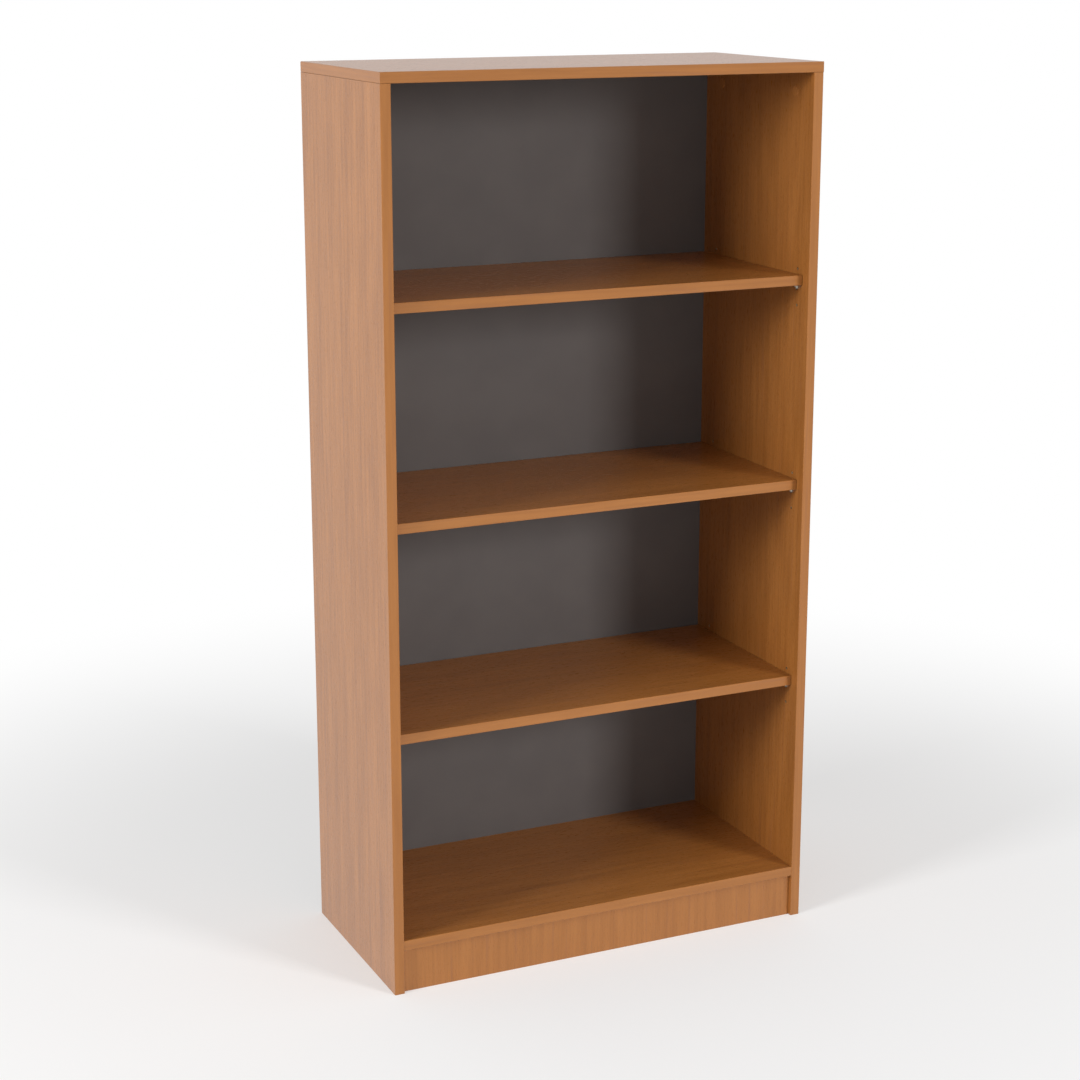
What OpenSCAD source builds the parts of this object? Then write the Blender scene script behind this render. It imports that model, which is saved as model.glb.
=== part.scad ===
// Open bookcase in decor board: a case of boards joined by cams and dowels, and three loose shelves.
// The origin is on the floor at the middle of the footprint. +X is right, +Y to the back, +Z up.

/* [Case] */
// Overall width
case_w = 800; // [500:10:1200]
// Overall depth
case_d = 375; // [300:5:600]
// Overall height
case_h = 1550; // [1200:10:2200]
// Thickness of the boards
board_t = 18; // [16:1:22]
// How far the bottom panel's front sits behind the front of the sides
bottom_recess = 1; // [0:0.5:6]

/* [Plinth] */
// Height of the plinth, up to the underside of the bottom panel
plinth_h = 78; // [60:1:140]
// How far the plinth's face sits behind the front of the sides
plinth_recess = 8; // [2:1:40]

/* [Shelves] */
// How far the shelves' front edges sit behind the front of the sides
shelf_recess = 20; // [4:1:60]
// Gap between each end of a shelf and the side
shelf_end_gap = 1; // [0.5:0.1:2]
// Gap between a shelf and the back panel
shelf_back_gap = 2; // [1:0.5:10]

/* [Edging] */
// Thickness of the edging strips
edging_t = 2; // [1:0.5:3]
// Radius of the edging's two front arrises
edging_r = 1.5; // [0.4:0.1:3]

/* [Back panel] */
// Thickness of the back panel
back_t = 3; // [2.5:0.5:5]
// How far the back panel lies in from the rear of the case
back_recess = 0.5; // [0:0.1:2]
// Width of the rebate in the sides and the top panel that takes the back panel
rebate_w = 9; // [8:0.5:11]
// Gap left round the edges of the back panel
back_gap = 0.5; // [0.2:0.1:0.8]

/* [Shelf supports] */
// Diameter of the holes for the supports
support_hole_d = 5; // [4:0.5:6]
// Depth of those holes
support_hole_depth = 11; // [9:0.5:13]
// Distance of the front supports behind a shelf's front edge
support_inset = 17; // [10:1:40]
// Distance of the rear supports in from the back panel, at least
support_rear_inset = 37; // [25:1:60]
// Spacing of the holes, and the step of their two rows
hole_pitch = 32; // [28:1:38]
// Spare holes above and below each support
spare_holes = 1; // [0:1:3]
// Diameter of a support's collar
collar_d = 9; // [8:0.5:12]
// Length of a support's tongue under the shelf
tongue_l = 9; // [6:0.5:14]
// Width of the tongue
tongue_w = 8; // [6:0.5:12]
// Thickness of the tongue
tongue_t = 2; // [1.5:0.25:3]
// Gap between the tongue and the shelf that it carries
seat_gap = 0.3; // [0.2:0.1:0.5]

/* [Cams and bolts] */
// Diameter of the cam bores
cam_d = 15; // [14:0.5:18]
// Distance from a joint to the centre of its cam
bolt_reach = 34; // [28:1:40]
// Diameter of the connecting bolts
bolt_d = 6; // [5:0.5:7]
// Diameter of a bolt's head
bolt_head_d = 5.5; // [5:0.25:6.5]
// Diameter of the neck under the head
bolt_neck_d = 3.2; // [2.5:0.1:3.8]
// Diameter over the bolt's thread
thread_d = 5; // [4.5:0.25:6]
// Length of the thread
thread_l = 11; // [8:0.5:13]
// Distance of the outer cams from the front and the rear of the case
cam_inset = 60; // [45:1:90]
// Diameter of the cover caps
cap_d = 17.5; // [17:0.5:24]
// Height of the cover caps above the board
cap_h = 1.2; // [0.8:0.1:2.5]

/* [Dowels] */
// Diameter of the dowels
dowel_d = 8; // [6:0.5:10]
// Length of the dowels
dowel_l = 30; // [26:1:36]
// How deep a dowel sits in the face of a board
dowel_face_depth = 12; // [9:0.5:13]
// Number of flutes round a dowel
dowel_flutes = 10; // [6:1:14]
// Distance of the outer plinth dowels from the sides
plinth_dowel_inset = 120; // [80:5:180]

/* [Back panel screws] */
// Diameter of the screws
screw_d = 3; // [2.5:0.25:3.5]
// Length of the screws
screw_l = 16; // [12:1:20]
// Diameter of their countersunk heads
screw_head_d = 6; // [5:0.25:6.5]
// Greatest spacing of the screws
screw_pitch = 210; // [150:10:300]
// Distance of the end screws on a side from the lower edge of the back panel and the top of the side
screw_end_inset = 30; // [20:5:60]

/* [Hidden] */
// Clearance round a piece in its bore, on the radius
fit_gap = 0.1;
// Clearance at the bottom of a blind bore
end_gap = 0.5;
// How far a cut runs past the face that it opens in
over = 1;
$fn = 48;

decor = [0.68, 0.46, 0.29];
decor_edging = [0.71, 0.48, 0.31];
dark_board = [0.37, 0.36, 0.35];
nickel = [0.74, 0.73, 0.70];
zinc = [0.62, 0.63, 0.64];
dowel_wood = [0.84, 0.72, 0.52];

front_y = -case_d / 2;
back_y = case_d / 2;
inner_w = case_w - 2 * board_t;
side_h = case_h - board_t;
rebate_d = back_t + back_recess;
back_face_y = back_y - rebate_d;
bottom_top_z = plinth_h + board_t;
bay_h = (side_h - bottom_top_z - 3 * board_t) / 4;
plinth_mid_y = front_y + plinth_recess + board_t / 2;

support_front_y = front_y + shelf_recess + support_inset;
support_steps = floor((back_face_y - support_rear_inset - support_front_y) / hole_pitch);
support_ys = [support_front_y, support_front_y + support_steps * hole_pitch];

cam_ys = [front_y + cam_inset, back_y - cam_inset];
dowel_ys = [cam_ys[0] + hole_pitch, cam_ys[1] - hole_pitch];
plinth_cam_z = (plinth_h + hole_pitch) / 2;
plinth_dowel_z = (plinth_h - hole_pitch) / 2;
plinth_dowel_x = inner_w / 2 - plinth_dowel_inset;

// The cam's wall round its chamber, the floor below it, and how far the chamber lies off the axis
cam_wall = 2;
cam_floor = 1;
cam_throw = 0.7;
cam_h = board_t / 2 + bolt_head_d / 2 + cam_floor;
// Room round the bolt's shaft in the channel to its cam
channel_gap = 0.5;
// The stub by which a cover cap plugs into its cam
cap_stub_d = 4;
cap_stub_l = 1.6;

screw_face_y = back_y - back_recess;
side_screw_x = inner_w / 2 + rebate_w / 2;
side_screw_span = side_h - plinth_h - 2 * screw_end_inset;
side_screw_steps = ceil(side_screw_span / screw_pitch);
row_screw_span = inner_w - 4 * screw_end_inset;
row_screw_steps = ceil(row_screw_span / screw_pitch);

// Underside of a shelf, counted from 1 at the bottom
function shelf_z(i) = bottom_top_z + i * bay_h + (i - 1) * board_t;

// Axis of the holes that carry a shelf
function support_z(i) = shelf_z(i) - seat_gap - collar_d / 2;

// What is made for the right side, made for the left side too
module both_sides() {
    children();
    mirror([1, 0, 0]) children();
}

// Each joint has a frame on its seam: +Z runs into the board that holds the cam, +X to the cam's face
module at_top_joint(y) {
    translate([inner_w / 2 + board_t / 2, y, side_h]) rotate([0, 180, 0]) children();
}

module at_bottom_joint(y) {
    translate([inner_w / 2, y, plinth_h + board_t / 2])
        rotate([0, -90, 0]) rotate([0, 0, 180]) children();
}

module at_plinth_end(z) {
    translate([inner_w / 2, plinth_mid_y, z]) rotate([0, -90, 0]) rotate([0, 0, 90]) children();
}

module at_plinth_top(x) {
    translate([x, plinth_mid_y, plinth_h]) rotate([180, 0, 0]) children();
}

module at_side_screws() {
    for (i = [0 : side_screw_steps])
        translate([
            side_screw_x, screw_face_y,
            plinth_h + screw_end_inset + i * side_screw_span / side_screw_steps
        ])
            rotate([-90, 0, 0]) children();
}

// A row of screws into the rear of a board that lies flat
module at_row_screws(z) {
    for (i = [0 : row_screw_steps])
        translate([-row_screw_span / 2 + i * row_screw_span / row_screw_steps, screw_face_y, z])
            rotate([-90, 0, 0]) children();
}

module at_top_screws() {
    at_row_screws(side_h + rebate_w / 2) children();
}

module at_bottom_screws() {
    at_row_screws(plinth_h + board_t / 2) children();
}

// Bore for the cam, and the channel that its bolt comes in by
module cam_cut() {
    translate([board_t / 2 - cam_h - end_gap, 0, bolt_reach])
        rotate([0, 90, 0]) cylinder(d = cam_d, h = cam_h + end_gap + over);
    translate([0, 0, -over]) cylinder(d = bolt_d + 2 * channel_gap, h = bolt_reach + over);
}

// Bore in the face of the other board for the bolt's thread
module thread_cut() {
    translate([0, 0, -thread_l - end_gap])
        cylinder(d = thread_d + 2 * fit_gap, h = thread_l + end_gap + over);
}

module dowel_face_cut() {
    translate([0, 0, -dowel_face_depth - end_gap])
        cylinder(d = dowel_d + 2 * fit_gap, h = dowel_face_depth + end_gap + over);
}

module dowel_end_cut() {
    translate([0, 0, -over])
        cylinder(d = dowel_d + 2 * fit_gap, h = dowel_l - dowel_face_depth + end_gap + over);
}

module support_holes() {
    for (i = [1 : 3], y = support_ys, k = [-spare_holes : spare_holes])
        translate([inner_w / 2 - over, y, support_z(i) + k * hole_pitch])
            rotate([0, 90, 0]) cylinder(d = support_hole_d, h = support_hole_depth + over);
}

module screw_pilot() {
    translate([0, 0, -screw_l - end_gap])
        cylinder(d = screw_d + 2 * fit_gap, h = screw_l + end_gap);
}

// Body of a board that has been bored and rebated, standing at the right
module side_board() {
    difference() {
        translate([inner_w / 2, front_y + edging_t, 0])
            cube([board_t, case_d - edging_t, side_h]);
        translate([inner_w / 2 - over, back_face_y, -over])
            cube([rebate_w + over, rebate_d + over, side_h + 2 * over]);
        support_holes();
        for (y = cam_ys) {
            at_top_joint(y) cam_cut();
            at_bottom_joint(y) thread_cut();
        }
        for (y = dowel_ys) {
            at_top_joint(y) dowel_end_cut();
            at_bottom_joint(y) dowel_face_cut();
        }
        at_plinth_end(plinth_cam_z) thread_cut();
        at_plinth_end(plinth_dowel_z) dowel_face_cut();
        at_side_screws() screw_pilot();
    }
}

module left_side() {
    color(decor) mirror([1, 0, 0]) side_board();
}

module right_side() {
    color(decor) side_board();
}

module top_panel() {
    color(decor) difference() {
        translate([edging_t - case_w / 2, front_y + edging_t, side_h])
            cube([case_w - 2 * edging_t, case_d - edging_t, board_t]);
        translate([-inner_w / 2 - rebate_w, back_face_y, side_h - over])
            cube([inner_w + 2 * rebate_w, rebate_d + over, rebate_w + over]);
        both_sides() {
            for (y = cam_ys) at_top_joint(y) thread_cut();
            for (y = dowel_ys) at_top_joint(y) dowel_face_cut();
        }
        at_top_screws() screw_pilot();
    }
}

module bottom_panel() {
    bottom_front_y = front_y + bottom_recess + edging_t;
    color(decor) difference() {
        translate([-inner_w / 2, bottom_front_y, plinth_h])
            cube([inner_w, back_face_y - bottom_front_y, board_t]);
        both_sides() {
            for (y = cam_ys) at_bottom_joint(y) cam_cut();
            for (y = dowel_ys) at_bottom_joint(y) dowel_end_cut();
        }
        for (x = [-plinth_dowel_x, 0, plinth_dowel_x]) at_plinth_top(x) dowel_face_cut();
        at_bottom_screws() screw_pilot();
    }
}

module plinth() {
    color(decor) difference() {
        translate([-inner_w / 2, plinth_mid_y - board_t / 2, 0]) cube([inner_w, board_t, plinth_h]);
        both_sides() {
            at_plinth_end(plinth_cam_z) cam_cut();
            at_plinth_end(plinth_dowel_z) dowel_end_cut();
        }
        for (x = [-plinth_dowel_x, 0, plinth_dowel_x]) at_plinth_top(x) dowel_end_cut();
    }
}

module back_panel() {
    back_w = inner_w + 2 * rebate_w - 2 * back_gap;
    color(dark_board) difference() {
        translate([-back_w / 2, back_face_y, plinth_h])
            cube([back_w, back_t, side_h + rebate_w - back_gap - plinth_h]);
        both_sides() at_side_screws() screw_shape(fit_gap, over);
        at_top_screws() screw_shape(fit_gap, over);
        at_bottom_screws() screw_shape(fit_gap, over);
    }
}

// Cross-section of an edging strip: flat on the board, its two outer arrises rounded
module edging_section() {
    r = min(edging_r, edging_t);
    difference() {
        translate([0, -edging_t]) square([board_t, edging_t]);
        arris_cut(r);
        translate([board_t, 0]) mirror([1, 0]) arris_cut(r);
    }
}

module arris_cut(r) {
    translate([0, -edging_t]) difference() {
        translate([-over, -over]) square(r + over);
        translate([r, r]) circle(r);
    }
}

// Strip for the front edge of a board that lies flat: its length runs along X
module front_edging(l, face_y, z) {
    translate([-l / 2, face_y + edging_t, z + board_t])
        rotate([0, 90, 0]) linear_extrude(l) edging_section();
}

// Strip along the front of the side at the right
module side_edging() {
    translate([inner_w / 2, front_y + edging_t, 0]) linear_extrude(side_h) edging_section();
}

// Strip on the left end of the top panel, butted behind the front strip
module end_edging() {
    translate([edging_t - case_w / 2, front_y + edging_t, side_h])
        rotate([0, -90, -90]) linear_extrude(case_d - edging_t) edging_section();
}

module left_side_edging() {
    color(decor_edging) mirror([1, 0, 0]) side_edging();
}

module right_side_edging() {
    color(decor_edging) side_edging();
}

module top_front_edging() {
    color(decor_edging) front_edging(case_w, front_y, side_h);
}

module top_left_edging() {
    color(decor_edging) end_edging();
}

module top_right_edging() {
    color(decor_edging) mirror([1, 0, 0]) end_edging();
}

module bottom_panel_edging() {
    color(decor_edging) front_edging(inner_w, front_y + bottom_recess, plinth_h);
}

// A loose shelf, counted from 1 at the bottom
module shelf_board(i) {
    shelf_w = inner_w - 2 * shelf_end_gap;
    shelf_front_y = front_y + shelf_recess + edging_t;
    color(decor) translate([-shelf_w / 2, shelf_front_y, shelf_z(i)])
        cube([shelf_w, back_face_y - shelf_back_gap - shelf_front_y, board_t]);
}

module shelf_edging(i) {
    color(decor_edging)
        front_edging(inner_w - 2 * shelf_end_gap, front_y + shelf_recess, shelf_z(i));
}

module upper_shelf() {
    shelf_board(3);
}

module upper_shelf_edging() {
    shelf_edging(3);
}

module middle_shelf() {
    shelf_board(2);
}

module middle_shelf_edging() {
    shelf_edging(2);
}

module lower_shelf() {
    shelf_board(1);
}

module lower_shelf_edging() {
    shelf_edging(1);
}

// Plug-in support: a pin in the side, a collar against its face, a flat tongue and a rib below it
module support() {
    collar_t = 1.5;
    tip_r = tongue_w / 2;
    rib_t = 2;
    rib_l = tongue_l - 1;
    rib_low_z = -collar_d / 3;
    tongue_low_z = collar_d / 2 - tongue_t;
    color(nickel) {
        rotate([0, 90, 0])
            cylinder(d = support_hole_d - 2 * fit_gap, h = support_hole_depth - end_gap);
        rotate([0, -90, 0]) cylinder(d = collar_d, h = collar_t);
        translate([0, 0, tongue_low_z]) linear_extrude(tongue_t) {
            translate([tip_r - tongue_l, -tongue_w / 2]) square([tongue_l - tip_r, tongue_w]);
            translate([tip_r - tongue_l, 0]) circle(tip_r);
        }
        translate([0, rib_t / 2, 0]) rotate([90, 0, 0]) linear_extrude(rib_t) polygon([
            [0, tongue_low_z], [-rib_l, tongue_low_z], [-collar_t, rib_low_z], [0, rib_low_z]
        ]);
    }
}

module shelf_supports(i) {
    both_sides() for (y = support_ys)
        translate([inner_w / 2, y, support_z(i)]) support();
}

module upper_shelf_supports() {
    shelf_supports(3);
}

module middle_shelf_supports() {
    shelf_supports(2);
}

module lower_shelf_supports() {
    shelf_supports(1);
}

// Cam disc, its axis along Z with the driver's face at the top and the bolt coming in from +X.
// The bolt's head turns in an off-centre chamber, and its neck runs in a slot in the wall.
module cam_disc() {
    body_r = cam_d / 2 - fit_gap;
    bore_d = bolt_head_d + 2 * fit_gap;
    chamber_h = bore_d + 2 * fit_gap;
    slot_h = bolt_neck_d + 2 * fit_gap;
    cross_w = 1.2;
    cross_l = cam_d - 2 * cam_wall - 1;
    cross_z = -cap_stub_l - end_gap;
    color(zinc) difference() {
        translate([0, 0, -cam_h]) cylinder(r = body_r, h = cam_h);
        translate([cam_throw, 0, -board_t / 2 - chamber_h / 2])
            cylinder(r = body_r - cam_wall - cam_throw, h = chamber_h);
        translate([0, 0, -board_t / 2 - slot_h / 2]) linear_extrude(slot_h)
            polygon([[0, 0], [cam_d, 0], [cam_d, cam_d], [0, cam_d]]);
        translate([0, 0, -board_t / 2]) rotate([0, 90, 0]) cylinder(d = bore_d, h = cam_d);
        for (a = [0, 90]) rotate(a)
            translate([-cross_l / 2, -cross_w / 2, cross_z]) cube([cross_l, cross_w, over - cross_z]);
        translate([0, 0, cross_z]) cylinder(d = cap_stub_d + 2 * fit_gap, h = over - cross_z);
    }
}

module cam() {
    translate([board_t / 2, 0, bolt_reach]) rotate([0, 90, 0]) cam_disc();
}

// Connecting bolt: thread in one board, shaft across the seam, neck and head in the cam
module cam_bolt() {
    thread_pitch = 1.6;
    thread_depth = 0.6;
    lead_in = 1;
    threads = floor((thread_l - lead_in) / thread_pitch);
    core_r = thread_d / 2 - thread_depth;
    head_r = bolt_head_d / 2;
    neck_l = 4;
    neck_z = bolt_reach - head_r - neck_l;
    shoulder_z = neck_z - 1;
    color(nickel) rotate_extrude() {
        polygon(concat(
            [[0, -thread_l], [core_r - lead_in / 2, -thread_l]],
            [for (k = [0 : threads - 1], crest = [0, 1]) [
                core_r + crest * thread_depth,
                lead_in - thread_l + (k + crest / 2) * thread_pitch
            ]],
            [
                [core_r, 0], [bolt_d / 2, 0], [bolt_d / 2, shoulder_z],
                [bolt_neck_d / 2, neck_z], [bolt_neck_d / 2, bolt_reach], [0, bolt_reach]
            ]
        ));
        translate([0, bolt_reach]) intersection() {
            circle(head_r);
            translate([0, -head_r]) square([head_r, 2 * head_r]);
        }
    }
}

// Fluted dowel with chamfered ends, the shorter part in the face of the other board
module dowel() {
    chamfer = 1;
    flute_r = 0.7;
    flute_depth = 0.5;
    r = dowel_d / 2;
    color(dowel_wood) translate([0, 0, -dowel_face_depth]) intersection() {
        linear_extrude(dowel_l) difference() {
            circle(r);
            for (k = [0 : dowel_flutes - 1]) rotate(k * 360 / dowel_flutes)
                translate([r + flute_r - flute_depth, 0]) circle(flute_r, $fn = 16);
        }
        rotate_extrude() polygon([
            [0, 0], [r - chamfer, 0], [r, chamfer],
            [r, dowel_l - chamfer], [r - chamfer, dowel_l], [0, dowel_l]
        ]);
    }
}

module top_cams() {
    both_sides() for (y = cam_ys) at_top_joint(y) cam();
}

module top_cam_bolts() {
    both_sides() for (y = cam_ys) at_top_joint(y) cam_bolt();
}

module top_dowels() {
    both_sides() for (y = dowel_ys) at_top_joint(y) dowel();
}

// Cover cap: a disc with a rounded rim over the cam, on a stub that plugs into it
module cap() {
    rim_r = cap_h / 2;
    color(decor_edging) translate([board_t / 2, 0, bolt_reach]) rotate([0, 90, 0]) {
        translate([0, 0, -cap_stub_l]) cylinder(d = cap_stub_d, h = cap_stub_l + rim_r);
        rotate_extrude() difference() {
            square([cap_d / 2, cap_h]);
            translate([cap_d / 2 - rim_r, cap_h - rim_r]) difference() {
                square(rim_r + over);
                circle(rim_r);
            }
        }
    }
}

module cam_caps() {
    both_sides() for (y = cam_ys) at_top_joint(y) cap();
}

module bottom_cams() {
    both_sides() for (y = cam_ys) at_bottom_joint(y) cam();
}

module bottom_cam_bolts() {
    both_sides() for (y = cam_ys) at_bottom_joint(y) cam_bolt();
}

module bottom_dowels() {
    both_sides() for (y = dowel_ys) at_bottom_joint(y) dowel();
}

module plinth_cams() {
    both_sides() at_plinth_end(plinth_cam_z) cam();
}

module plinth_cam_bolts() {
    both_sides() at_plinth_end(plinth_cam_z) cam_bolt();
}

module plinth_end_dowels() {
    both_sides() at_plinth_end(plinth_dowel_z) dowel();
}

module plinth_top_dowels() {
    for (x = [-plinth_dowel_x, 0, plinth_dowel_x]) at_plinth_top(x) dowel();
}

// A countersunk screw's outline, its head up at the origin, larger all round by gap and higher by rise
module screw_shape(gap, rise) {
    shank_r = screw_d / 2 + gap;
    head_r = screw_head_d / 2 + gap;
    rim_h = 0.2;
    head_h = rim_h + (screw_head_d - screw_d) / 2;
    tip_l = 2;
    rotate_extrude() polygon([
        [0, rise], [head_r, rise], [head_r, -rim_h], [shank_r, -head_h],
        [shank_r, tip_l - screw_l], [0, -screw_l]
    ]);
}

module back_screw() {
    slot_w = 0.7;
    slot_l = screw_head_d - 2.5;
    slot_depth = 1;
    color(zinc) difference() {
        screw_shape(0, 0);
        for (a = [0, 90]) rotate(a)
            translate([-slot_l / 2, -slot_w / 2, -slot_depth])
                cube([slot_l, slot_w, slot_depth + over]);
    }
}

module back_panel_screws() {
    both_sides() at_side_screws() back_screw();
    at_top_screws() back_screw();
    at_bottom_screws() back_screw();
}

left_side();
right_side();
top_panel();
bottom_panel();
plinth();
back_panel();
left_side_edging();
right_side_edging();
top_front_edging();
top_left_edging();
top_right_edging();
bottom_panel_edging();
upper_shelf();
upper_shelf_edging();
middle_shelf();
middle_shelf_edging();
lower_shelf();
lower_shelf_edging();
upper_shelf_supports();
middle_shelf_supports();
lower_shelf_supports();
top_cams();
top_cam_bolts();
top_dowels();
cam_caps();
bottom_cams();
bottom_cam_bolts();
bottom_dowels();
plinth_cams();
plinth_cam_bolts();
plinth_end_dowels();
plinth_top_dowels();
back_panel_screws();
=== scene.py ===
"""Finishes, lights and camera for an open bookcase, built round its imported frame."""

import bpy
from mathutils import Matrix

bl_info = {
    "name": "Bookcase Finishes",
    "version": (1, 0, 0),
    "blender": (4, 5, 0),
    "location": "View3D > Sidebar > Bookcase",
    "description": "Dresses a framed bookcase in decor board, edging and fittings, and lights it",
    "category": "Object",
}

import math
from typing import NamedTuple

import bmesh
import bpy
from bpy.props import FloatProperty, FloatVectorProperty, PointerProperty
from bpy.types import Operator, Panel, PropertyGroup
from mathutils import Vector

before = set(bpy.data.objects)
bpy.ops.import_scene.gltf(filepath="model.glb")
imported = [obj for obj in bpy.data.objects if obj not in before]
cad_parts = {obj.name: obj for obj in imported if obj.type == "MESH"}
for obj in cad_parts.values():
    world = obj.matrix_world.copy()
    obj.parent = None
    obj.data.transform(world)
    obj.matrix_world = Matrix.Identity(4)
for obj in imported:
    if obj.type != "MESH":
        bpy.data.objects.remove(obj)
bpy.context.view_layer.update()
MM = 0.001

# How strongly the printed grain shows. The light washes it out on one side and brings it out on the
# plinth, and it is calmer on the narrow strips.
PLAIN_PRINT = 1.0
STRONG_PRINT = 1.4
FAINT_PRINT = 0.8
STRIP_PRINT = 0.65

# Boards by the axis that their grain runs along, the axis across their thickness, and their print
BOARDS = {
    "left_side": ("Z", "X", STRONG_PRINT),
    "right_side": ("Z", "X", PLAIN_PRINT),
    "plinth": ("Z", "Y", FAINT_PRINT),
    "top_panel": ("X", "Z", PLAIN_PRINT),
    "bottom_panel": ("X", "Z", PLAIN_PRINT),
    "upper_shelf": ("X", "Z", PLAIN_PRINT),
    "middle_shelf": ("X", "Z", PLAIN_PRINT),
    "lower_shelf": ("X", "Z", PLAIN_PRINT),
}

# Edging strips by the axis that they run along
EDGINGS = {
    "left_side_edging": "Z",
    "right_side_edging": "Z",
    "top_front_edging": "X",
    "top_left_edging": "Y",
    "top_right_edging": "Y",
    "bottom_panel_edging": "X",
    "upper_shelf_edging": "X",
    "middle_shelf_edging": "X",
    "lower_shelf_edging": "X",
}

# Each board and each strip has its own piece of the print
SEED_STEP = 10.0
FIRST_STRIP_SEED = 5.0

SUPPORTS = ("upper_shelf_supports", "middle_shelf_supports", "lower_shelf_supports")
BOLTS = ("top_cam_bolts", "bottom_cam_bolts", "plinth_cam_bolts")
CAMS = ("top_cams", "bottom_cams", "plinth_cams")
DOWELS = ("top_dowels", "bottom_dowels", "plinth_end_dowels", "plinth_top_dowels")


class Mark(NamedTuple):
    """A kind of mark on a surface, made from noise.

    It has a size across and along, in metres. Where it has levels, it shows from the first level of
    its noise on, and in full from the second.
    """
    across: float
    along: float
    seed: float
    levels: tuple = ()
    detail: float = 3.0
    roughness: float = 0.5


# The print of the decor
SWAY = Mark(0.25, 0.9, seed=0.0)
FIGURE = Mark(0.04, 0.7, seed=3.1, levels=(0.3, 0.7), detail=2.0)
LINES = Mark(0.0045, 0.4, seed=5.3, levels=(0.35, 0.65), detail=2.0)
STREAKS = Mark(0.010, 0.11, seed=7.7, levels=(0.3, 0.7), detail=4.0, roughness=0.6)
VEINS = Mark(0.009, 0.3, seed=21.7, levels=(0.60, 0.74), detail=2.0)
FLECKS = Mark(0.0011, 0.014, seed=11.3, levels=(0.56, 0.72), detail=2.0)
FLECK_CLUSTERS = Mark(0.03, 0.12, seed=17.9, levels=(0.48, 0.68))

# How far the grain sways, in metres, and each mark's share of the ground's tone
SWAY_REACH = 0.03
FIGURE_SHARE = 0.25
LINE_SHARE = 0.35
STREAK_SHARE = 0.4

# How strong the flecks are outside their clusters
LONE_FLECK = 0.2

# The other surfaces
PAINT_MOTTLE = Mark(0.09, 0.09, seed=5.0, levels=(0.3, 0.7), detail=5.0)
FELT = Mark(0.0018, 0.0018, seed=9.0)
PRESSED_FIBRES = Mark(0.007, 0.0025, seed=13.0, levels=(0.3, 0.7), detail=6.0, roughness=0.65)
BEECH_FIBRES = Mark(0.0008, 0.006, seed=4.0)
MOULD_GRAIN = Mark(0.0006, 0.0006, seed=6.0)
NICKEL_PATCHES = Mark(0.004, 0.004, seed=2.0)
CAST_PATCHES = Mark(0.002, 0.002, seed=2.0)
SCREW_PATCHES = Mark(0.003, 0.003, seed=2.0)
CHIPS_PER_METRE = 380.0

# Depths of the relief
FLECK_DEPTH = 0.05 * MM
STRIP_FLECK_DEPTH = 0.03 * MM
FELT_DEPTH = 0.04 * MM
MOULD_DEPTH = 0.01 * MM

# Roughness of the surfaces, and how far their marks change it
FLECK_GLOSS = 0.06
STRIP_FLECK_GLOSS = 0.04
CUT_BOARD_ROUGHNESS = 0.80
HARDBOARD_ROUGHNESS = 0.80
BACK_PAINT_ROUGHNESS = 0.62
FELT_ROUGHNESS = 0.1
NICKEL_ROUGHNESS = 0.22
CAST_ROUGHNESS = 0.37
SCREW_ROUGHNESS = 0.22
PATCH_ROUGHNESS = 0.16
BEECH_ROUGHNESS = 0.6
CAP_ROUGHNESS = 0.42
MOULD_ROUGHNESS = 0.1

# How squarely a surface faces out of its board. It is cut edge up to the first and decor from the
# second on. The back panel's surface is painted where it faces further forwards than the third.
CUT_FACING = 0.4
DECOR_FACING = 0.6
PAINTED_FACING = -0.5

# The floor, in metres. Near the bookcase it glows a little, and fades to white between two distances.
FLOOR_RADIUS = 9.0
FLOOR_CORNERS = 96
NEAR_GLOW = 0.35
FADE = (0.8, 2.2)

WHITE = (1.0, 1.0, 1.0)
SEEN_FLOOR = (0.93, 0.93, 0.93)
LIT_FLOOR = (0.85, 0.85, 0.85)


class Lamp(NamedTuple):
    """A square soft light: where it stands and aims, its side in metres, and its angle in radians."""
    place: tuple
    aim: tuple
    side: float
    spread: float


KEY_LAMP = Lamp(place=(3.06, -5.51, 2.40), aim=(-0.25, 0.0, 0.25), side=1.4, spread=math.radians(70.0))
FILL_LAMP = Lamp(place=(-5.88, -1.58, 2.60), aim=(0.0, 0.0, 0.775), side=1.6, spread=math.radians(180.0))


class Value:
    """A socket. Python's operators on one that carries numbers add Math nodes."""

    def __init__(self, finish, socket):
        self.finish = finish
        self.socket = socket

    def __add__(self, other):
        return self.finish.maths("ADD", self, other)

    def __sub__(self, other):
        return self.finish.maths("SUBTRACT", self, other)

    def __rsub__(self, other):
        return self.finish.maths("SUBTRACT", other, self)

    def __mul__(self, other):
        return self.finish.maths("MULTIPLY", self, other)

    def __truediv__(self, other):
        return self.finish.maths("DIVIDE", self, other)

    def __lt__(self, other):
        return self.finish.maths("LESS_THAN", self, other)

    def __abs__(self):
        return self.finish.maths("ABSOLUTE", self)

    __radd__ = __add__
    __rmul__ = __mul__

    def ramp(self, low, high):
        """0 below low, 1 above high, and smooth between them."""
        settings = {"interpolation_type": "SMOOTHSTEP"}
        inputs = {"Value": self, "From Min": low, "From Max": high}
        return self.finish.node("MapRange", settings, inputs)


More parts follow.
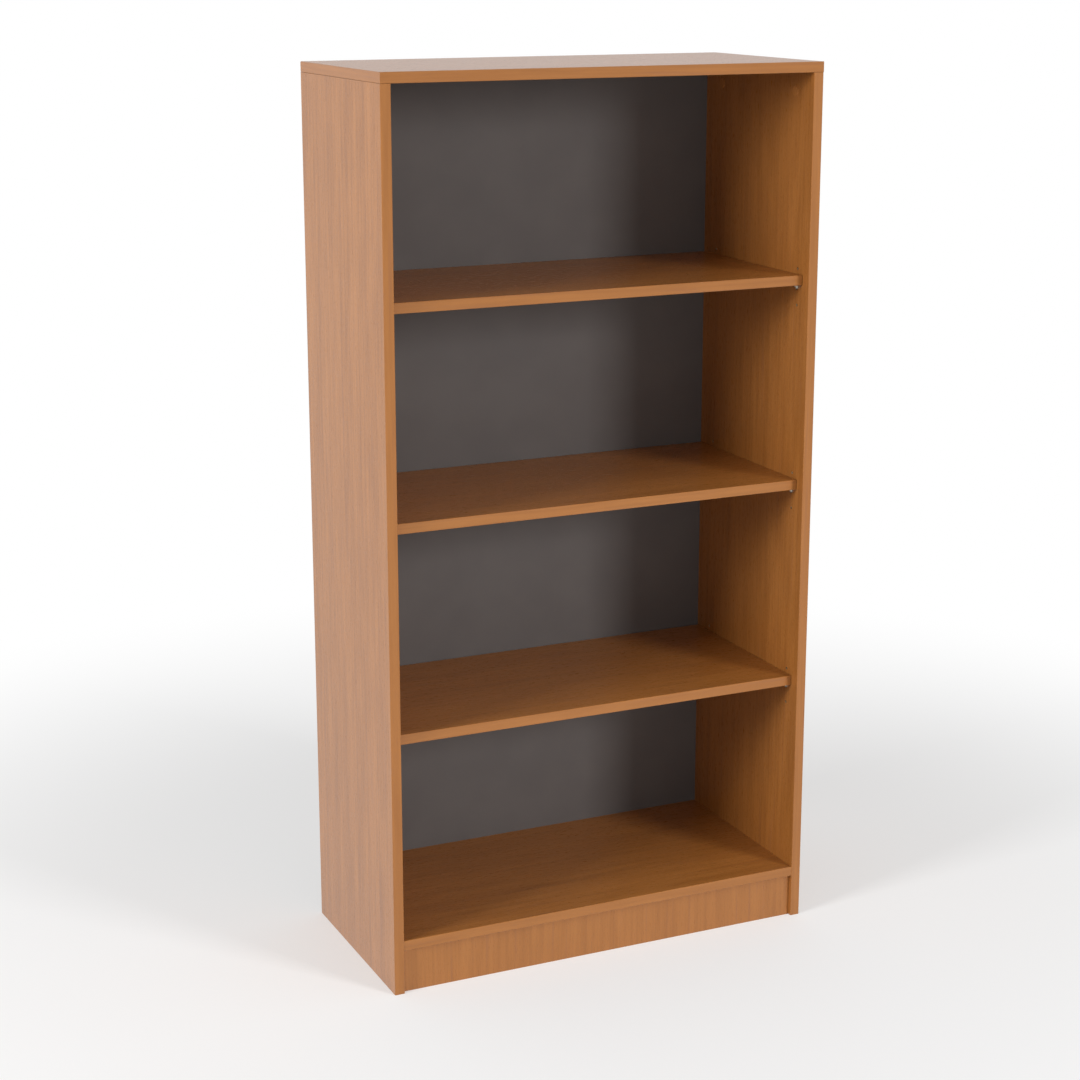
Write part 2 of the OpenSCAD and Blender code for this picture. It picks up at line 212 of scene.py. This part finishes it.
class Finish:
    """The node tree of a material or of the world, while it is built."""

    def __init__(self, owner):
        owner.use_nodes = True
        self.tree = owner.node_tree
        self.tree.nodes.clear()

    def node(self, kind, settings=None, inputs=None, output=0):
        """Adds any node: its settings first, then the values or links of its sockets.

        Gives back one of its outputs, or None where it has no outputs.
        """
        made = self.tree.nodes.new("ShaderNode" + kind)
        for name, setting in (settings or {}).items():
            setattr(made, name, setting)
        for name, value in (inputs or {}).items():
            if isinstance(value, Value):
                self.tree.links.new(value.socket, made.inputs[name])
            else:
                made.inputs[name].default_value = value
        return Value(self, made.outputs[output]) if made.outputs else None

    def outputs(self, kind, names, inputs=None):
        """Adds a node and gives back several of its outputs, by name."""
        made = self.node(kind, inputs=inputs).socket.node
        return [Value(self, made.outputs[name]) for name in names]

    def maths(self, operation, *values):
        return self.node("Math", {"operation": operation}, dict(enumerate(values)))

    def mix(self, mask, under, over):
        """One colour over another, by a mask from 0 to 1."""
        return self.node("Mix", {"data_type": "RGBA"}, {0: mask, 6: under, 7: over}, output=2)

    def places(self):
        """The X, Y and Z of each point of the piece, in metres."""
        point = self.node("TexCoord", output="Object")
        return dict(zip("XYZ", self.outputs("SeparateXYZ", "XYZ", {"Vector": point})))

    def facing(self, axis):
        """How far the surface faces along an axis: from 1 to -1, and 0 where it lies along it."""
        normal = self.node("NewGeometry", output="True Normal")
        return self.node("SeparateXYZ", inputs={"Vector": normal}, output=axis)

    def noise(self, mark, across, along, seed=0.0):
        """A mark's noise over two places, from 0 to 1."""
        inputs = {"X": across / mark.across, "Y": along / mark.along, "Z": seed + mark.seed}
        point = self.node("CombineXYZ", inputs=inputs)
        inputs = {"Vector": point, "Scale": 1.0, "Detail": mark.detail, "Roughness": mark.roughness}
        noise = self.node("TexNoise", inputs=inputs)
        return noise.ramp(*mark.levels) if mark.levels else noise

    def bump(self, height, depth):
        """A relief from a height of 0 to 1 and its depth in metres."""
        return self.node("Bump", inputs={"Height": height, "Distance": depth})

    def surface(self, **inputs):
        """The finished surface, by the shader's sockets, with _ for a space in their names."""
        named = {name.replace("_", " "): value for name, value in inputs.items()}
        shader = self.node("BsdfPrincipled", inputs=named)
        self.node("OutputMaterial", inputs={"Surface": shader})


def colour(rgb):
    return (*rgb, 1.0)


def new_finish(name):
    material = bpy.data.materials.new(name)
    return material, Finish(material)


def dress(node, material):
    """Puts a material on a carried-over CAD node in place of the one it came with."""
    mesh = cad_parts[node].data
    mesh.materials.clear()
    mesh.materials.append(material)


def decor_finish(name, grain, thickness, contrast, seed, looks):
    """Printed wood decor on the faces of a board, and raw particle board on its cut edges."""
    material, finish = new_finish(name)
    place = finish.places()
    across_axis = next(axis for axis in "YXZ" if axis not in (grain, thickness))
    across = place[across_axis] + place[thickness]
    decor, flecks = decor_colour(finish, place[grain], across, contrast, seed, looks)
    # Cut edges carry the raw board's chips, darkened as painted shade inside the bores
    raw = particle_board_colour_with_shade(finish, place, looks)
    cut = 1 - abs(finish.facing(thickness)).ramp(CUT_FACING, DECOR_FACING)
    decor_roughness = looks.decor_roughness - FLECK_GLOSS * flecks
    finish.surface(
        Base_Color=finish.mix(cut, decor, raw),
        Roughness=cut * CUT_BOARD_ROUGHNESS + (1 - cut) * decor_roughness,
        Normal=finish.bump(flecks, FLECK_DEPTH),
    )
    return material


def decor_colour(finish, along, across, contrast, seed, looks):
    """The print: faint broad figure, long lines and streaks, a few dark veins, and short flecks.

    Contrast is for figure, lines and streaks. Gives back the colour and the mask of the flecks.
    """
    bent = across + SWAY_REACH * (finish.noise(SWAY, across, along, seed) - 0.5)
    figure, lines, streaks, veins, flecks = (
        finish.noise(mark, bent, along, seed) for mark in (FIGURE, LINES, STREAKS, VEINS, FLECKS))
    clusters = finish.noise(FLECK_CLUSTERS, across, along, seed)
    tone = FIGURE_SHARE * figure + LINE_SHARE * lines + STREAK_SHARE * streaks
    printed_tone = 0.5 + contrast * (tone - 0.5)
    ground = finish.mix(printed_tone, colour(looks.decor_dark), colour(looks.decor_light))
    clustered = flecks * (LONE_FLECK + (1 - LONE_FLECK) * clusters)
    dark_marks = clustered * looks.fleck_strength + veins * looks.vein_strength
    return finish.mix(dark_marks, ground, colour(looks.decor_fleck)), flecks


def particle_board_colour_with_shade(finish, place, looks):
    """Pressed chips, cut through: each has its own tone between dark and pale. Both tones are set darker
    than the raw board, as painted shade inside the bores of the spare supports.
    """
    point = finish.node("CombineXYZ", inputs=place)
    inputs = {"Vector": point, "Scale": CHIPS_PER_METRE}
    chip = finish.node("TexVoronoi", inputs=inputs, output="Color")
    tone = finish.node("SeparateColor", inputs={"Color": chip})
    return finish.mix(tone, colour(looks.chip_dark_with_shade), colour(looks.chip_light_with_shade))


def edging_finish(name, grain, seed, looks):
    """Edging strip in the decor's colour, with fine streaks along its length."""
    material, finish = new_finish(name)
    place = finish.places()
    first, second = (place[axis] for axis in "XYZ" if axis != grain)
    decor, flecks = decor_colour(finish, place[grain], first + second, STRIP_PRINT, seed, looks)
    finish.surface(
        Base_Color=decor,
        Roughness=looks.edging_roughness - STRIP_FLECK_GLOSS * flecks,
        Normal=finish.bump(flecks, STRIP_FLECK_DEPTH),
    )
    return material


def back_finish(looks):
    """Hardboard: matt grey paint with a faint mottle in front, and raw pressed fibre at the rear and
    edges. The grey is set darker than the board's own paint, as painted shade of the deep bays.
    """
    material, finish = new_finish("back_hardboard")
    place = finish.places()
    mottle, felt, fibres = (
        finish.noise(mark, place["X"], place["Z"]) for mark in (PAINT_MOTTLE, FELT, PRESSED_FIBRES))
    # The grey paint is darkened to carry painted shade of the deep bays
    paint = finish.mix(mottle, colour(looks.back_grey_and_shade_dark), colour(looks.back_grey_and_shade_light))
    raw = finish.mix(fibres, colour(looks.fibre_dark), colour(looks.fibre_light))
    painted = finish.facing("Y") < PAINTED_FACING
    smoother = (HARDBOARD_ROUGHNESS - BACK_PAINT_ROUGHNESS) * painted
    finish.surface(
        Base_Color=finish.mix(painted, raw, paint),
        Roughness=HARDBOARD_ROUGHNESS - smoother + FELT_ROUGHNESS * felt,
        Normal=finish.bump(felt, FELT_DEPTH),
    )
    return material


def metal_finish(name, tint, roughness, patches):
    """Plated or cast metal, with patches that are a little rougher."""
    material, finish = new_finish(name)
    place = finish.places()
    patch = finish.noise(patches, place["X"], place["Z"])
    finish.surface(
        Base_Color=colour(tint),
        Metallic=1.0,
        Roughness=roughness + PATCH_ROUGHNESS * patch,
    )
    return material


def dowel_finish(looks):
    """Raw turned beech."""
    material, finish = new_finish("dowel_beech")
    place = finish.places()
    fibres = finish.noise(BEECH_FIBRES, place["X"] + place["Y"], place["Z"])
    finish.surface(
        Base_Color=finish.mix(fibres, colour(looks.beech_dark), colour(looks.beech_light)),
        Roughness=BEECH_ROUGHNESS,
    )
    return material


def cap_finish(looks):
    """Matt moulded plastic in the decor's colour."""
    material, finish = new_finish("cap_plastic")
    place = finish.places()
    grain = finish.noise(MOULD_GRAIN, place["Y"], place["Z"])
    finish.surface(
        Base_Color=colour(looks.decor_light),
        Roughness=CAP_ROUGHNESS + MOULD_ROUGHNESS * grain,
        Normal=finish.bump(grain, MOULD_DEPTH),
    )
    return material


class BookcaseLooks(PropertyGroup):
    decor_light: FloatVectorProperty(
        name="Decor Light", description="Lighter tone of the printed decor",
        subtype="COLOR", size=3, default=(0.405, 0.158, 0.037))
    decor_dark: FloatVectorProperty(
        name="Decor Dark", description="Darker tone of the printed decor",
        subtype="COLOR", size=3, default=(0.296, 0.108, 0.022))
    decor_fleck: FloatVectorProperty(
        name="Decor Fleck", description="Colour of the short flecks and the veins in the decor",
        subtype="COLOR", size=3, default=(0.230, 0.092, 0.050))
    fleck_strength: FloatProperty(
        name="Fleck Strength", description="How strongly the flecks show",
        subtype="FACTOR", min=0.0, max=1.0, default=0.22)
    vein_strength: FloatProperty(
        name="Vein Strength", description="How strongly the dark veins show",
        subtype="FACTOR", min=0.0, max=1.0, default=0.22)
    decor_roughness: FloatProperty(
        name="Decor Roughness", description="Roughness of the decor's lacquered paper",
        subtype="FACTOR", min=0.0, max=1.0, default=0.30)
    edging_roughness: FloatProperty(
        name="Edging Roughness", description="Roughness of the edging strips",
        subtype="FACTOR", min=0.0, max=1.0, default=0.32)
    # The raw particle board's chip tones, set darker than the board's own as painted shade inside the
    # bores of the spare supports
    chip_light_with_shade: FloatVectorProperty(
        name="Chip Light", description="Palest chips of the raw particle board",
        subtype="COLOR", size=3, default=(0.52, 0.37, 0.21))
    chip_dark_with_shade: FloatVectorProperty(
        name="Chip Dark", description="Darkest chips of the raw particle board",
        subtype="COLOR", size=3, default=(0.22, 0.13, 0.065))
    # Two tones of the back panel's grey paint, set darker than its own grey as painted shade of the deep
    # bays behind the shelves
    back_grey_and_shade_light: FloatVectorProperty(
        name="Back Light", description="Lighter tone of the painted back panel",
        subtype="COLOR", size=3, default=(0.120, 0.110, 0.106))
    back_grey_and_shade_dark: FloatVectorProperty(
        name="Back Dark", description="Darker tone of the painted back panel",
        subtype="COLOR", size=3, default=(0.110, 0.101, 0.098))
    fibre_light: FloatVectorProperty(
        name="Fibre Light", description="Lighter tone of the back panel's raw hardboard",
        subtype="COLOR", size=3, default=(0.225, 0.135, 0.072))
    fibre_dark: FloatVectorProperty(
        name="Fibre Dark", description="Darker tone of the back panel's raw hardboard",
        subtype="COLOR", size=3, default=(0.150, 0.085, 0.043))
    nickel: FloatVectorProperty(
        name="Nickel", description="Nickel plate of the supports and bolts",
        subtype="COLOR", size=3, default=(0.60, 0.57, 0.52))
    zinc: FloatVectorProperty(
        name="Zinc", description="Zinc of the cams and screws",
        subtype="COLOR", size=3, default=(0.46, 0.47, 0.48))
    beech_light: FloatVectorProperty(
        name="Beech Light", description="Lighter tone of the raw beech dowels",
        subtype="COLOR", size=3, default=(0.70, 0.52, 0.32))
    beech_dark: FloatVectorProperty(
        name="Beech Dark", description="Darker tone of the raw beech dowels",
        subtype="COLOR", size=3, default=(0.50, 0.34, 0.18))


class BookcaseStage(PropertyGroup):
    eye: FloatVectorProperty(
        name="Eye", description="Where the camera stands",
        subtype="TRANSLATION", unit="LENGTH", size=3, default=(-1.655, -3.4895, 1.735))
    heading: FloatProperty(
        name="Heading", description="How far the camera turns to the right of +Y",
        subtype="ANGLE", unit="ROTATION", default=math.radians(24.82))
    tilt: FloatProperty(
        name="Tilt", description="How far the camera looks down",
        subtype="ANGLE", unit="ROTATION", default=math.radians(13.97))
    lens: FloatProperty(
        name="Lens", description="Focal length of the camera, in millimetres", min=10.0, default=74.95)
    rise: FloatProperty(
        name="Rise", description="Vertical shift of the camera", default=-0.03)
    daylight: FloatProperty(
        name="Daylight", description="Strength of the even light from all round", min=0.0, default=0.50)
    key: FloatProperty(
        name="Key Light", description="Power of the soft light at the front right",
        subtype="POWER", unit="POWER", min=0.0, default=34.0)
    fill: FloatProperty(
        name="Fill Light", description="Power of the soft light at the left",
        subtype="POWER", unit="POWER", min=0.0, default=228.0)


class BOOKCASE_OT_boards(Operator):
    """Dresses the sides, panels, plinth and shelves in decor board"""
    bl_idname = "bookcase.boards"
    bl_label = "Boards"

    def execute(self, context):
        looks = context.scene.bookcase_looks
        for number, (node, (grain, thickness, contrast)) in enumerate(BOARDS.items()):
            seed = SEED_STEP * number
            dress(node, decor_finish(node + "_decor", grain, thickness, contrast, seed, looks))
        return {"FINISHED"}


class BOOKCASE_OT_edgings(Operator):
    """Dresses the edging strips"""
    bl_idname = "bookcase.edgings"
    bl_label = "Edgings"

    def execute(self, context):
        looks = context.scene.bookcase_looks
        for number, (node, grain) in enumerate(EDGINGS.items()):
            seed = FIRST_STRIP_SEED + SEED_STEP * number
            dress(node, edging_finish(node + "_strip", grain, seed, looks))
        return {"FINISHED"}


class BOOKCASE_OT_back_panel(Operator):
    """Paints the back panel"""
    bl_idname = "bookcase.back_panel"
    bl_label = "Back Panel"

    def execute(self, context):
        dress("back_panel", back_finish(context.scene.bookcase_looks))
        return {"FINISHED"}


class BOOKCASE_OT_fittings(Operator):
    """Dresses the shelf supports, cams, bolts, dowels, caps and screws"""
    bl_idname = "bookcase.fittings"
    bl_label = "Fittings"

    def execute(self, context):
        looks = context.scene.bookcase_looks
        finishes = {
            SUPPORTS + BOLTS: metal_finish("nickel_plate", looks.nickel, NICKEL_ROUGHNESS, NICKEL_PATCHES),
            CAMS: metal_finish("die_cast_zinc", looks.zinc, CAST_ROUGHNESS, CAST_PATCHES),
            ("back_panel_screws",): metal_finish("zinc_plate", looks.zinc, SCREW_ROUGHNESS, SCREW_PATCHES),
            DOWELS: dowel_finish(looks),
            ("cam_caps",): cap_finish(looks),
        }
        for nodes, material in finishes.items():
            for node in nodes:
                dress(node, material)
        return {"FINISHED"}


class BOOKCASE_OT_stage(Operator):
    """Makes the floor, the surroundings, the lights and the camera"""
    bl_idname = "bookcase.stage"
    bl_label = "Stage"

    def execute(self, context):
        scene = context.scene
        stage = scene.bookcase_stage
        make_floor(scene)
        make_surroundings(scene, stage)
        make_light(scene, "key_light", KEY_LAMP, stage.key)
        make_light(scene, "fill_light", FILL_LAMP, stage.fill)
        make_camera(scene, stage)
        scene.view_settings.view_transform = "Standard"
        return {"FINISHED"}


def add_to_scene(scene, name, data):
    added = bpy.data.objects.new(name, data)
    scene.collection.objects.link(added)
    return added


def rays(finish):
    """Two masks: rays from the camera, and rays from a mirror-like surface or glass."""
    names = ("Is Camera Ray", "Is Glossy Ray", "Is Transmission Ray")
    camera, glossy, glass = finish.outputs("LightPath", names)
    return camera, finish.maths("MAXIMUM", glossy, glass)


def make_floor(scene):
    """A wide round floor that takes the shadow and fades into the white surroundings."""
    ring = bmesh.new()
    bmesh.ops.create_circle(ring, cap_ends=True, segments=FLOOR_CORNERS, radius=FLOOR_RADIUS)
    mesh = bpy.data.meshes.new("floor")
    ring.to_mesh(mesh)
    ring.free()
    material, finish = new_finish("floor_paint")
    place = finish.places()
    distance = finish.maths("SQRT", place["X"] * place["X"] + place["Y"] * place["Y"])
    camera, mirrored = rays(finish)
    glow = camera * (NEAR_GLOW + (1 - NEAR_GLOW) * distance.ramp(*FADE)) + mirrored
    tint = finish.mix(camera, colour(LIT_FLOOR), colour(SEEN_FLOOR))
    paint = finish.node("BsdfDiffuse", inputs={"Color": tint})
    white = finish.node("Emission", inputs={"Color": colour(WHITE), "Strength": 1.0})
    surface = finish.node("MixShader", inputs={0: glow, 1: paint, 2: white})
    finish.node("OutputMaterial", inputs={"Surface": surface})
    mesh.materials.append(material)
    floor = add_to_scene(scene, "floor", mesh)


def make_surroundings(scene, stage):
    """White where it is seen, and an even light on everything else."""
    world = bpy.data.worlds.new("surroundings")
    scene.world = world
    finish = Finish(world)
    lit = finish.node("Background", inputs={"Color": colour(WHITE), "Strength": stage.daylight})
    white = finish.node("Background", inputs={"Color": colour(WHITE), "Strength": 1.0})
    camera, mirrored = rays(finish)
    surface = finish.node("MixShader", inputs={0: camera + mirrored, 1: lit, 2: white})
    finish.node("OutputWorld", inputs={"Surface": surface})


def make_light(scene, name, lamp, power):
    """A square soft light that mirror-like surfaces don't show."""
    data = bpy.data.lights.new(name, "AREA")
    data.energy = power
    data.size = lamp.side
    data.spread = lamp.spread
    light = add_to_scene(scene, name, data)
    light.location = lamp.place
    light.rotation_euler = (Vector(lamp.aim) - Vector(lamp.place)).to_track_quat("-Z", "Y").to_euler()
    light.visible_glossy = False


def make_camera(scene, stage):
    camera = add_to_scene(scene, "camera", bpy.data.cameras.new("camera"))
    camera.data.lens = stage.lens
    camera.data.shift_y = stage.rise
    camera.location = stage.eye
    camera.rotation_euler = (math.pi / 2 - stage.tilt, 0.0, -stage.heading)
    scene.camera = camera


class BOOKCASE_PT_panel(Panel):
    bl_label = "Bookcase"
    bl_idname = "BOOKCASE_PT_panel"
    bl_space_type = "VIEW_3D"
    bl_region_type = "UI"
    bl_category = "Bookcase"

    def draw(self, context):
        for settings in (context.scene.bookcase_looks, context.scene.bookcase_stage):
            for name in settings.__annotations__:
                self.layout.prop(settings, name)
        for operator in OPERATORS:
            self.layout.operator(operator.bl_idname)


OPERATORS = (
    BOOKCASE_OT_boards,
    BOOKCASE_OT_edgings,
    BOOKCASE_OT_back_panel,
    BOOKCASE_OT_fittings,
    BOOKCASE_OT_stage,
)
CLASSES = (BookcaseLooks, BookcaseStage, *OPERATORS, BOOKCASE_PT_panel)


def register():
    for cls in CLASSES:
        bpy.utils.register_class(cls)
    bpy.types.Scene.bookcase_looks = PointerProperty(type=BookcaseLooks)
    bpy.types.Scene.bookcase_stage = PointerProperty(type=BookcaseStage)


def unregister():
    del bpy.types.Scene.bookcase_stage
    del bpy.types.Scene.bookcase_looks
    for cls in reversed(CLASSES):
        bpy.utils.unregister_class(cls)


def main():
    register()
    bpy.ops.bookcase.boards()
    bpy.ops.bookcase.edgings()
    bpy.ops.bookcase.back_panel()
    bpy.ops.bookcase.fittings()
    bpy.ops.bookcase.stage()


if __name__ == "__main__":
    main()
